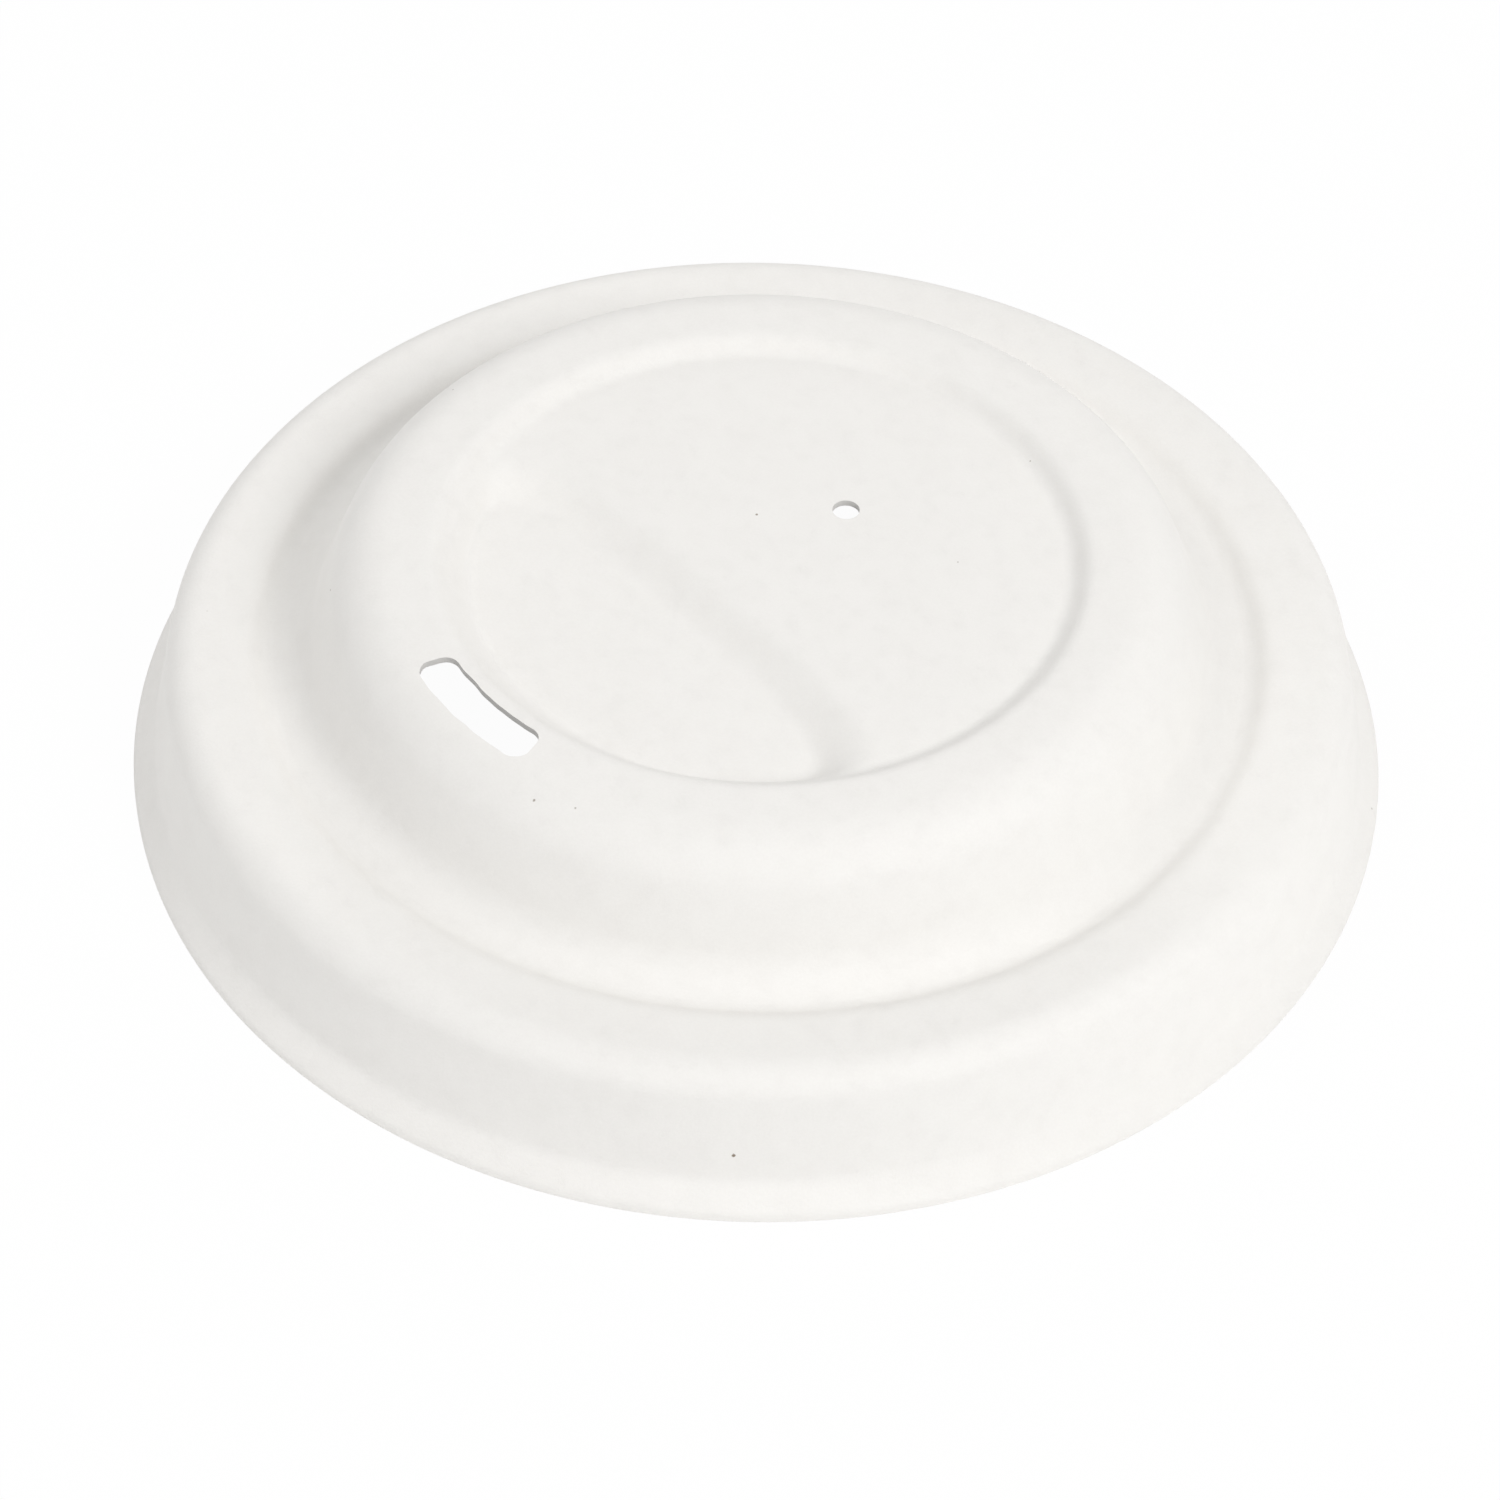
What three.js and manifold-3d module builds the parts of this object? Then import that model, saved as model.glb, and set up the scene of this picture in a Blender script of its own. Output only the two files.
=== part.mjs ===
// A moulded fibre lid for a takeaway coffee cup, in millimetres, +Z up.
// The lid is one pressed sheet: a recessed top with a drinking pocket, a raised ring with the
// sip slot, a sloping plateau wall, a channel, a rounded rim that holds the cup, and a skirt
// that ends in a flared lip. The origin is the centre of the lip, and the sip slot faces -Y.

import * as THREE from 'three';
import { mergeVertices } from 'three/addons/utils/BufferGeometryUtils.js';
import Module from 'manifold-3d';

// Sheet
const SHEET = 0.5; // thickness of the pressed fibre
const OVERALL_HEIGHT = 18.6; // table to the top of the raised ring

// Lip and skirt
const LIP_RADIUS = 46.5;
const LIP_EDGE = 0.38; // height of the upright cut edge
const LIP_FLARE = 1.65; // how far the lip stands out from the crease
const CREASE_HEIGHT = 2.2;
const CREASE_FILLET = 2;
const SKIRT_LEAN = 12; // degrees from upright

// Rim over the cup, with its ledge rising outwards and bending flatter
const SHOULDER_HEIGHT = 10.88; // sharp corner, before its fillet
const SHOULDER_FILLET = 2.4;
const LEDGE_WIDTH = 6.85; // shoulder to the bottom of the channel
const LEDGE_RISE = 18; // degrees, beside the channel
const LEDGE_BEND = 3.5; // shoulder to the bend
const LEDGE_BEND_FALL = 0.38; // shoulder down to the bend
const LEDGE_FILLET = 10;

// Channel and plateau wall
const CHANNEL_FILLET = 1;
const FOOT_RUN = 2.6; // bottom of the channel in to the foot of the wall
const FOOT_RISE = 12; // degrees
const FOOT_FILLET = 3.3;
const PLATEAU_LEAN = 22; // degrees from upright
const PLATEAU_FILLET = 4.7;

// Recess in the top
const RECESS_RADIUS = 22.45; // foot of its wall
const RECESS_DEPTH = 1.1;
const RECESS_RUN = 1.15; // how far its wall leans out
const RECESS_FOOT_FILLET = 1;
const RECESS_EDGE_FILLET = 1.2;

// Drinking pocket, pressed deeper into the recess on the sip side
const POCKET_DEPTH = 1.6;
const POCKET_INNER_EDGE = 4.2; // axis to the top of its straight step
const POCKET_STEP_RUN = 3.4; // plan length of that step
const POCKET_SIDE_GAP = 0.3; // recess foot to the pocket's top edge
const POCKET_SIDE_RUN = 2; // plan length of its end walls
const POCKET_SLOPE_RUN = 5.1; // plan length of the slope below the sip slot
const POCKET_ROUNDING = 4; // higher is squarer
const POCKET_EDGE_FALL = 0.35; // share of the fall that is straight, the rest is a soft S
const POCKET_UNDER_GROWTH = 0.35; // sideways growth of its underside, in sheet thicknesses

// Openings
const SLOT_SETBACK = 2.3; // recess edge to the slot's centre line
const SLOT_WIDTH = 2.95;
const SLOT_LENGTH = 11.3; // along its centre line
const SLOT_CORNER = 1.2;
const VENT_DIAMETER = 2;
const VENT_OFFSET = 8.1; // from the axis, away from the slot

// Facets
const TURN_STEPS = 72;
const ARC_STEP = 20; // degrees
const POCKET_STEPS = 56;
const POCKET_LEVELS = [1, 0.9, 0.72, 0.5, 0.28, 0.1]; // from its floor up to its edge
const POCKET_BRIM = -0.05; // level just above the recess floor, where the cutter turns upright
const VENT_STEPS = 20;
const CORNER_STEPS = 4;
const CUT_MARGIN = 2; // how far a cutter passes a face
const OPEN_EDGE = 1.15 * RECESS_RADIUS; // straight edge that lies outside the recess

const FIBRE = new THREE.MeshStandardMaterial({ color: 0xefece4, roughness: 0.95, metalness: 0 });

const wasm = await Module();
wasm.setup();

const radians = THREE.MathUtils.degToRad;

/** Corners of the lid's upper face, from the axis out to the lip, each with its fillet. */
function upperCorners() {
  const floor = OVERALL_HEIGHT - RECESS_DEPTH;
  const creaseRadius = LIP_RADIUS - LIP_FLARE;
  const shoulderRadius = creaseRadius - (SHOULDER_HEIGHT - CREASE_HEIGHT) * Math.tan(radians(SKIRT_LEAN));
  const bendHeight = SHOULDER_HEIGHT - LEDGE_BEND_FALL;
  const channelRadius = shoulderRadius - LEDGE_WIDTH;
  const channelHeight = bendHeight - (LEDGE_WIDTH - LEDGE_BEND) * Math.tan(radians(LEDGE_RISE));
  const footRadius = channelRadius - FOOT_RUN;
  const footHeight = channelHeight + FOOT_RUN * Math.tan(radians(FOOT_RISE));
  const plateauRadius = footRadius - (OVERALL_HEIGHT - footHeight) * Math.tan(radians(PLATEAU_LEAN));
  return [
    corner(0, floor, 0),
    corner(RECESS_RADIUS, floor, RECESS_FOOT_FILLET),
    corner(RECESS_RADIUS + RECESS_RUN, OVERALL_HEIGHT, RECESS_EDGE_FILLET),
    corner(plateauRadius, OVERALL_HEIGHT, PLATEAU_FILLET),
    corner(footRadius, footHeight, FOOT_FILLET),
    corner(channelRadius, channelHeight, CHANNEL_FILLET),
    corner(shoulderRadius - LEDGE_BEND, bendHeight, LEDGE_FILLET),
    corner(shoulderRadius, SHOULDER_HEIGHT, SHOULDER_FILLET),
    corner(creaseRadius, CREASE_HEIGHT, CREASE_FILLET),
    corner(LIP_RADIUS, LIP_EDGE, 0),
  ];
}

function corner(radius, height, fillet) {
  return { at: new THREE.Vector2(radius, height), fillet };
}

/** The point where two lines meet, each given by a point and a direction. */
function crossing(pointA, directionA, pointB, directionB) {
  const along = pointB.clone().sub(pointA).cross(directionB) / directionA.cross(directionB);
  return pointA.clone().addScaledVector(directionA, along);
}

/** The same run of corners one sheet lower, with every fillet kept concentric. */
function lowerCorners(upper) {
  const directions = upper.slice(1).map((next, i) => next.at.clone().sub(upper[i].at).normalize());
  const offsets = directions.map((along, i) => (
    upper[i].at.clone().add(new THREE.Vector2(along.y, -along.x).multiplyScalar(SHEET))
  ));
  const lower = [corner(0, upper[0].at.y - SHEET, 0)];
  for (let i = 1; i < directions.length; i += 1) {
    const turn = Math.sign(directions[i - 1].cross(directions[i]));
    const at = crossing(offsets[i - 1], directions[i - 1], offsets[i], directions[i]);
    lower.push({ at, fillet: Math.max(upper[i].fillet + turn * SHEET, 0) });
  }
  const last = directions.length - 1;
  const table = new THREE.Vector2(0, 0);
  lower.push({ at: crossing(offsets[last], directions[last], table, new THREE.Vector2(1, 0)), fillet: 0 });
  return lower;
}

/** Points along a run of corners, with each fillet as an arc of even steps. */
function filleted(corners) {
  const points = [corners[0].at.clone()];
  for (let i = 1; i < corners.length - 1; i += 1) {
    const { at, fillet } = corners[i];
    const before = corners[i - 1].at.clone().sub(at).normalize();
    const after = corners[i + 1].at.clone().sub(at).normalize();
    const turn = Math.PI - Math.acos(THREE.MathUtils.clamp(before.dot(after), -1, 1));
    if (fillet === 0) {
      points.push(at.clone());
      continue;
    }
    const reach = fillet * Math.tan(turn / 2);
    const start = at.clone().addScaledVector(before, reach);
    const middle = before.clone().add(after).normalize();
    const centre = at.clone().addScaledVector(middle, fillet / Math.cos(turn / 2));
    const sense = Math.sign(after.cross(before));
    const steps = Math.max(2, Math.round(turn / radians(ARC_STEP)));
    for (let step = 0; step <= steps; step += 1) {
      points.push(start.clone().rotateAround(centre, (sense * turn * step) / steps));
    }
  }
  points.push(corners[corners.length - 1].at.clone());
  return points;
}

/** A closed mesh as a solid for joining and cutting. */
function solid(geometry) {
  geometry.deleteAttribute('normal');
  geometry.deleteAttribute('uv');
  const merged = mergeVertices(geometry, 1e-5);
  const triangles = [];
  for (let i = 0; i < merged.index.count; i += 3) {
    const [a, b, c] = [0, 1, 2].map((k) => merged.index.getX(i + k));
    if (a !== b && b !== c && c !== a) triangles.push(a, b, c);
  }
  return new wasm.Manifold(new wasm.Mesh({
    numProp: 3,
    vertProperties: new Float32Array(merged.attributes.position.array),
    triVerts: new Uint32Array(triangles),
  }));
}

/** The pressed sheet without its pocket and openings, turned about the axis. */
function revolvedSheet() {
  const upper = upperCorners();
  const lower = lowerCorners(upper);
  const profile = [
    ...filleted(lower),
    new THREE.Vector2(LIP_RADIUS, 0),
    ...filleted(upper).reverse(),
  ];
  const geometry = new THREE.LatheGeometry(profile, TURN_STEPS);
  return solid(geometry.rotateX(Math.PI / 2));
}

/** Distance from the pocket's centre to a rounded outline held in by two straight edges and a circle. */
function outlineReach(angle, centre, innerEdge, outerEdge, radius) {
  const towardAxis = Math.sin(angle);
  const along = -centre * towardAxis;
  const limits = [-along + Math.sqrt(along * along - centre * centre + radius * radius)];
  if (towardAxis > 0) limits.push((centre - innerEdge) / towardAxis);
  if (towardAxis < 0) limits.push((outerEdge - centre) / -towardAxis);
  const sum = limits.reduce((total, limit) => total + limit ** -POCKET_ROUNDING, 0);
  return sum ** (-1 / POCKET_ROUNDING);
}

/** A closed body through stacked outlines, each a list of points of equal length. */
function loft(rings) {
  const count = rings[0].length;
  const positions = rings.flat().flatMap((point) => point.toArray());
  const middles = [rings[0], rings[rings.length - 1]].map((ring) => (
    ring.reduce((sum, point) => sum.add(point), new THREE.Vector3()).divideScalar(count)
  ));
  positions.push(...middles[0].toArray(), ...middles[1].toArray());
  const [firstMiddle, lastMiddle] = [rings.length * count, rings.length * count + 1];
  const lastRing = (rings.length - 1) * count;
  const index = [];
  for (let i = 0; i < count; i += 1) {
    const next = (i + 1) % count;
    for (let ring = 0; ring < lastRing; ring += count) {
      index.push(ring + i, ring + next, ring + count + next);
      index.push(ring + i, ring + count + next, ring + count + i);
    }
    index.push(firstMiddle, next, i, lastMiddle, lastRing + i, lastRing + next);
  }
  const geometry = new THREE.BufferGeometry();
  geometry.setAttribute('position', new THREE.Float32BufferAttribute(positions, 3));
  geometry.setIndex(index);
  return solid(geometry);
}

/** The pocket's soft-edged form, grown sideways and lowered for its underside. */
function pocketForm(growth, drop, top) {
  const floor = OVERALL_HEIGHT - RECESS_DEPTH;
  const topRadius = RECESS_RADIUS - POCKET_SIDE_GAP;
  const footRadius = topRadius - POCKET_SIDE_RUN;
  const footOuterEdge = topRadius - POCKET_SLOPE_RUN;
  const footInnerEdge = POCKET_INNER_EDGE + POCKET_STEP_RUN;
  const centre = (footInnerEdge + footOuterEdge) / 2;
  const ring = (level, height) => Array.from({ length: POCKET_STEPS }, (_, i) => {
    const angle = (2 * Math.PI * i) / POCKET_STEPS;
    const above = outlineReach(angle, centre, POCKET_INNER_EDGE, OPEN_EDGE, topRadius);
    const below = outlineReach(angle, centre, footInnerEdge, footOuterEdge, footRadius);
    const reach = THREE.MathUtils.lerp(above, below, level) + growth;
    return new THREE.Vector3(reach * Math.cos(angle), reach * Math.sin(angle) - centre, height);
  });
  const fall = (level) => {
    const soft = level > 0 ? THREE.MathUtils.smoothstep(level, 0, 1) : 0;
    return POCKET_DEPTH * (POCKET_EDGE_FALL * level + (1 - POCKET_EDGE_FALL) * soft);
  };
  const rings = [...POCKET_LEVELS, POCKET_BRIM].map((level) => ring(level, floor - fall(level) - drop));
  return loft([...rings, ring(POCKET_BRIM, top)]);
}

/** Cutter for the sip slot: an arc-shaped hole with rounded ends, on the ring toward -Y. */
function slotCutter() {
  const middle = RECESS_RADIUS + RECESS_RUN + SLOT_SETBACK;
  const outer = middle + SLOT_WIDTH / 2;
  const inner = middle - SLOT_WIDTH / 2;
  const half = SLOT_LENGTH / 2 / middle;
  const outerTrim = Math.asin(SLOT_CORNER / (outer - SLOT_CORNER));
  const innerTrim = Math.asin(SLOT_CORNER / (inner + SLOT_CORNER));
  const down = -Math.PI / 2;
  const cornerAt = (radius, angle) => [radius * Math.cos(angle), radius * Math.sin(angle)];
  const shape = new THREE.Shape();
  const [outerAngle, innerAngle] = [half - outerTrim, half - innerTrim];
  const ends = [down - half, down + half];
  shape.absarc(0, 0, outer, down - outerAngle, down + outerAngle, false);
  shape.absarc(...cornerAt(outer - SLOT_CORNER, down + outerAngle), SLOT_CORNER,
    down + outerAngle, ends[1] + Math.PI / 2, false);
  shape.absarc(...cornerAt(inner + SLOT_CORNER, down + innerAngle), SLOT_CORNER,
    ends[1] + Math.PI / 2, down + innerAngle + Math.PI, false);
  shape.absarc(0, 0, inner, down + innerAngle, down - innerAngle, true);
  shape.absarc(...cornerAt(inner + SLOT_CORNER, down - innerAngle), SLOT_CORNER,
    down - innerAngle + Math.PI, ends[0] + 1.5 * Math.PI, false);
  shape.absarc(...cornerAt(outer - SLOT_CORNER, down - outerAngle), SLOT_CORNER,
    ends[0] - Math.PI / 2, down - outerAngle, false);
  const depth = SHEET + 2 * CUT_MARGIN;
  const geometry = new THREE.ExtrudeGeometry(shape, { depth, bevelEnabled: false, curveSegments: CORNER_STEPS });
  return solid(geometry.translate(0, 0, OVERALL_HEIGHT + CUT_MARGIN - depth));
}

/** Cutter for the round vent, across the axis from the slot. */
function ventCutter() {
  const depth = SHEET + 2 * CUT_MARGIN;
  const geometry = new THREE.CylinderGeometry(VENT_DIAMETER / 2, VENT_DIAMETER / 2, depth, VENT_STEPS);
  geometry.rotateX(Math.PI / 2);
  geometry.translate(0, VENT_OFFSET, OVERALL_HEIGHT - RECESS_DEPTH - SHEET / 2);
  return solid(geometry);
}

/** The finished lid as a geometry of its own. */
function lidGeometry() {
  const floor = OVERALL_HEIGHT - RECESS_DEPTH;
  const tub = pocketForm(POCKET_UNDER_GROWTH * SHEET, SHEET, floor - SHEET / 2);
  const pocket = pocketForm(0, 0, floor + RECESS_DEPTH / 2);
  const lid = revolvedSheet().add(tub).subtract(pocket).subtract(slotCutter()).subtract(ventCutter());
  const mesh = lid.getMesh();
  const geometry = new THREE.BufferGeometry();
  geometry.setAttribute('position', new THREE.BufferAttribute(new Float32Array(mesh.vertProperties), 3));
  geometry.setIndex(new THREE.BufferAttribute(new Uint32Array(mesh.triVerts), 1));
  geometry.computeVertexNormals();
  return geometry;
}

const lid = new THREE.Mesh(lidGeometry(), FIBRE);
lid.name = 'lid';

const assembly = new THREE.Group();
assembly.add(lid);

export default assembly;
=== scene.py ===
"""Studio scene of a moulded-fibre coffee cup lid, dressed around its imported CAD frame."""

import logging
import math
from dataclasses import dataclass
from enum import Enum
from typing import Any, Union

import bmesh
import bpy
from mathutils import Matrix, Vector, noise


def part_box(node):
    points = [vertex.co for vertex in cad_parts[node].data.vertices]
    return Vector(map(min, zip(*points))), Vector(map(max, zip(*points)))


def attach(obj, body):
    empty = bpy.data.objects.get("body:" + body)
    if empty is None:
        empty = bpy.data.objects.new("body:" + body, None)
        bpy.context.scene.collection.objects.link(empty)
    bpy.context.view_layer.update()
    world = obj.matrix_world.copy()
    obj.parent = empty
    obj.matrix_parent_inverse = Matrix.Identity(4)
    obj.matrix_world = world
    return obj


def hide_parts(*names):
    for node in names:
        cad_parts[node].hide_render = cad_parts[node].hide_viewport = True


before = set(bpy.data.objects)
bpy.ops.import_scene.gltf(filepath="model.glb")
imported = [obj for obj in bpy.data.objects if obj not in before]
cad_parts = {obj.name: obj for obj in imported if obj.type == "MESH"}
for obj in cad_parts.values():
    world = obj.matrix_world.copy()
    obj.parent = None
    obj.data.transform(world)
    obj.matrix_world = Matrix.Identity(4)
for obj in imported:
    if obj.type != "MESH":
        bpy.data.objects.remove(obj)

LOG = logging.getLogger("lid_scene")
MM = 0.001
WHITE = (1.0, 1.0, 1.0, 1.0)
FEWEST_ARC_STEPS = 3
SMALLEST_SINE = 1e-6
Number = Union[float, int]


class Operation(Enum):
    """Operations of a Math node that the materials use."""

    ADD = "ADD"
    SUBTRACT = "SUBTRACT"
    MULTIPLY = "MULTIPLY"
    MAXIMUM = "MAXIMUM"
    ABSOLUTE = "ABSOLUTE"


class Ray(Enum):
    """Rays that show the backdrop to the camera, straight, mirrored or through glass."""

    CAMERA = "Is Camera Ray"
    GLOSSY = "Is Glossy Ray"
    TRANSMISSION = "Is Transmission Ray"


@dataclass(frozen=True)
class Corner:
    """One corner of the lid's section.

    Attributes:
        radius: Distance from the axis, in mm.
        height: Height over the table, in mm.
        fillet: Rounding radius, in mm.
        spacing: Longest step of the straight run that leads to it, in mm.
    """

    radius: float
    height: float
    fillet: float = 0.0
    spacing: float = 0.6


class SectionPen:
    """Draws a section in the XZ plane with bmesh operators, from the axis outwards."""

    def __init__(self, arc_step: float) -> None:
        """Starts an empty section.

        Args:
            arc_step: Length of one step along a fillet, in mm.
        """
        self.mesh = bmesh.new()
        self.arc_step = arc_step
        self.tip: bmesh.types.BMVert | None = None

    def start(self, at: Vector) -> None:
        """Puts the first point down.

        Args:
            at: Radius and height in mm.
        """
        self.tip = self.mesh.verts.new((at.x * MM, 0.0, at.y * MM))

    def line(self, to: Vector, spacing: float) -> None:
        """Draws a straight run in even steps.

        Args:
            to: Radius and height of its end, in mm.
            spacing: Longest step, in mm.
        """
        end = Vector((to.x * MM, 0.0, to.y * MM))
        run = end - self.tip.co
        steps = max(1, math.ceil(run.length / (spacing * MM)))
        for _ in range(steps):
            grown = bmesh.ops.extrude_vert_indiv(self.mesh, verts=[self.tip])["verts"]
            bmesh.ops.translate(self.mesh, verts=grown, vec=run / steps)
            self.tip = grown[0]

    def arc(self, centre: Vector, turn: float, radius: float) -> None:
        """Swings the tip about a fillet's centre.

        Args:
            centre: Radius and height of the centre, in mm.
            turn: Angle about +Y, in radians.
            radius: Fillet radius in mm, which sets the number of steps.
        """
        steps = max(FEWEST_ARC_STEPS, math.ceil(abs(turn) * radius / self.arc_step))
        swung = bmesh.ops.spin(
            self.mesh, geom=[self.tip], cent=(centre.x * MM, 0.0, centre.y * MM), axis=(0.0, 1.0, 0.0),
            dvec=(0.0, 0.0, 0.0), angle=turn, steps=steps, use_merge=False, use_duplicate=False)
        self.tip = next(item for item in swung["geom_last"] if isinstance(item, bmesh.types.BMVert))

    def draw(self, corners: list[Corner]) -> None:
        """Draws straight runs and fillets through a list of corners.

        Args:
            corners: Corners from the axis to the free edge.
        """
        points = [Vector((corner.radius, corner.height)) for corner in corners]
        self.start(points[0])
        for before, corner, at, after in zip(points, corners[1:-1], points[1:], points[2:]):
            back, ahead = (before - at).normalized(), (after - at).normalized()
            turn = math.pi - back.angle(ahead)
            reach = corner.fillet * math.tan(turn / 2)
            self.line(at + back * reach, corner.spacing)
            if corner.fillet:
                middle = (back + ahead).normalized()
                centre = at + middle * (corner.fillet / math.cos(turn / 2))
                sense = math.copysign(1.0, back.x * ahead.y - back.y * ahead.x)
                self.arc(centre, sense * turn, corner.fillet)
        self.line(points[-1], corners[-1].spacing)


@dataclass
class Pocket:
    """The drinking pocket pressed into the recess on the sip side, toward -Y.

    Attributes:
        depth: Below the recess floor, in mm.
        inner_edge: Axis to the top of its straight step, in mm.
        step_run: Plan length of that step, in mm.
        middle: Axis to the point from which its outlines are measured, in mm.
        top_radius: Where its ends begin to fall, in mm from the axis.
        side_run: Plan length of its end walls, in mm.
        slope_start: Where the slope below the slot begins, in mm from the axis.
        slope_end: Where that slope meets the pocket's floor, in mm from the axis.
        slot_room: Soft outer limit of its upper outline, as a share of slope_start.
        top_squareness: Higher gives tighter corners to its upper outline.
        foot_squareness: The same for its foot, on the axis side.
        slot_squareness: The same for its foot, on the slot side.
    """

    depth: float = 1.6
    inner_edge: float = 4.2
    step_run: float = 3.4
    middle: float = 12.3
    top_radius: float = 22.6
    side_run: float = 1.7
    slope_start: float = 23.9
    slope_end: float = 21.6
    slot_room: float = 1.25
    top_squareness: float = 3.6
    foot_squareness: float = 2.7
    slot_squareness: float = 8.0

    def reach(self, angle: float, inner: float, outer: float, radius: float, squareness: float) -> float:
        """Distance from the pocket's middle to a rounded outline.

        Args:
            angle: Direction in plan, in radians, with +pi/2 toward the axis.
            inner: Straight edge on the axis side, in mm from the axis.
            outer: Straight edge on the slot side, in mm from the axis.
            radius: Circle about the axis that holds the outline in, in mm.
            squareness: How tight its corners are.

        Returns:
            The distance in mm.
        """
        along = -self.middle * math.sin(angle)
        limits = [-along + math.sqrt(along * along - self.middle ** 2 + radius * radius)]
        if math.sin(angle) > SMALLEST_SINE:
            limits.append((self.middle - inner) / math.sin(angle))
        if math.sin(angle) < -SMALLEST_SINE:
            limits.append((outer - self.middle) / -math.sin(angle))
        return sum(limit ** -squareness for limit in limits) ** (-1 / squareness)

    def drop(self, x: float, y: float) -> float:
        """How far the sheet is pressed down at a place.

        Args:
            x: Place across the slot's direction, in mm.
            y: Place along it, in mm, with the slot at -Y.

        Returns:
            The drop in mm.
        """
        out = Vector((x, y + self.middle))
        angle = math.atan2(out.y, out.x)
        toward_slot = max(0.0, -math.sin(angle)) ** 2
        top_radius = self.top_radius + (self.slope_start - self.top_radius) * toward_slot
        top_limit = self.slot_room * self.slope_start
        top = self.reach(angle, self.inner_edge, top_limit, top_radius, self.top_squareness)
        foot_edge = self.inner_edge + self.step_run
        foot_radius = self.top_radius - self.side_run
        foot_squareness = self.foot_squareness if out.y > 0 else self.slot_squareness
        foot = self.reach(angle, foot_edge, self.slope_end, foot_radius, foot_squareness)
        level = min(1.0, max(0.0, (top - out.length) / (top - foot)))
        return self.depth * level * level * (3 - 2 * level)


class PlanPen:
    """Draws a closed outline in plan from arcs, in polar places measured from -Y."""

    def __init__(self, level: float, corner: float, corner_steps: int) -> None:
        """Starts an empty outline.

        Args:
            level: Height of the outline, in mm.
            corner: Radius of its rounded corners, in mm.
            corner_steps: Number of edges round each corner.
        """
        self.mesh = bmesh.new()
        self.level = level
        self.corner = corner
        self.corner_steps = corner_steps
        self.tip: bmesh.types.BMVert | None = None

    def place(self, radius: float, angle: float, centre: Vector) -> Vector:
        """Turns a polar place into a point.

        Args:
            radius: In mm.
            angle: From -Y, counter-clockwise, in radians.
            centre: Centre of the polar system, in mm.

        Returns:
            The point in metres.
        """
        x = centre.x + radius * math.sin(angle)
        y = centre.y - radius * math.cos(angle)
        return Vector((x, y, self.level)) * MM

    def start(self, radius: float, angle: float) -> None:
        """Puts the first point down, at a polar place about the axis."""
        self.tip = self.mesh.verts.new(self.place(radius, angle, Vector((0, 0))))

    def swing(self, centre: Vector, turn: float, steps: int) -> None:
        """Swings the tip about a centre.

        Args:
            centre: In mm.
            turn: In radians, counter-clockwise.
            steps: Number of edges.
        """
        swung = bmesh.ops.spin(
            self.mesh, geom=[self.tip], cent=(centre.x * MM, centre.y * MM, 0.0), axis=(0.0, 0.0, 1.0),
            dvec=(0.0, 0.0, 0.0), angle=turn, steps=steps, use_merge=False, use_duplicate=False)
        self.tip = next(item for item in swung["geom_last"] if isinstance(item, bmesh.types.BMVert))

    def turn_corner(self, radius: float, angle: float, first: float, last: float) -> None:
        """Draws straight to a rounded corner, then round it.

        Args:
            radius: Axis to the corner's centre, in mm.
            angle: Direction of that centre.
            first: Direction from that centre in which the rounding starts.
            last: Direction in which it ends.
        """
        centre = Vector((radius * math.sin(angle), -radius * math.cos(angle)))
        grown = bmesh.ops.extrude_vert_indiv(self.mesh, verts=[self.tip])["verts"]
        target = self.place(self.corner, first, centre)
        bmesh.ops.translate(self.mesh, verts=grown, vec=target - self.tip.co)
        self.tip = grown[0]
        self.swing(centre, last - first, self.corner_steps)

    def fill(self, merge: float) -> bmesh.types.BMesh:
        """Closes the outline and fills it.

        Args:
            merge: Distance within which its ends are joined, in mm.

        Returns:
            The mesh with one face.
        """
        bmesh.ops.remove_doubles(self.mesh, verts=self.mesh.verts[:], dist=merge * MM)
        bmesh.ops.contextual_create(self.mesh, geom=self.mesh.edges[:])
        return self.mesh


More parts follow.
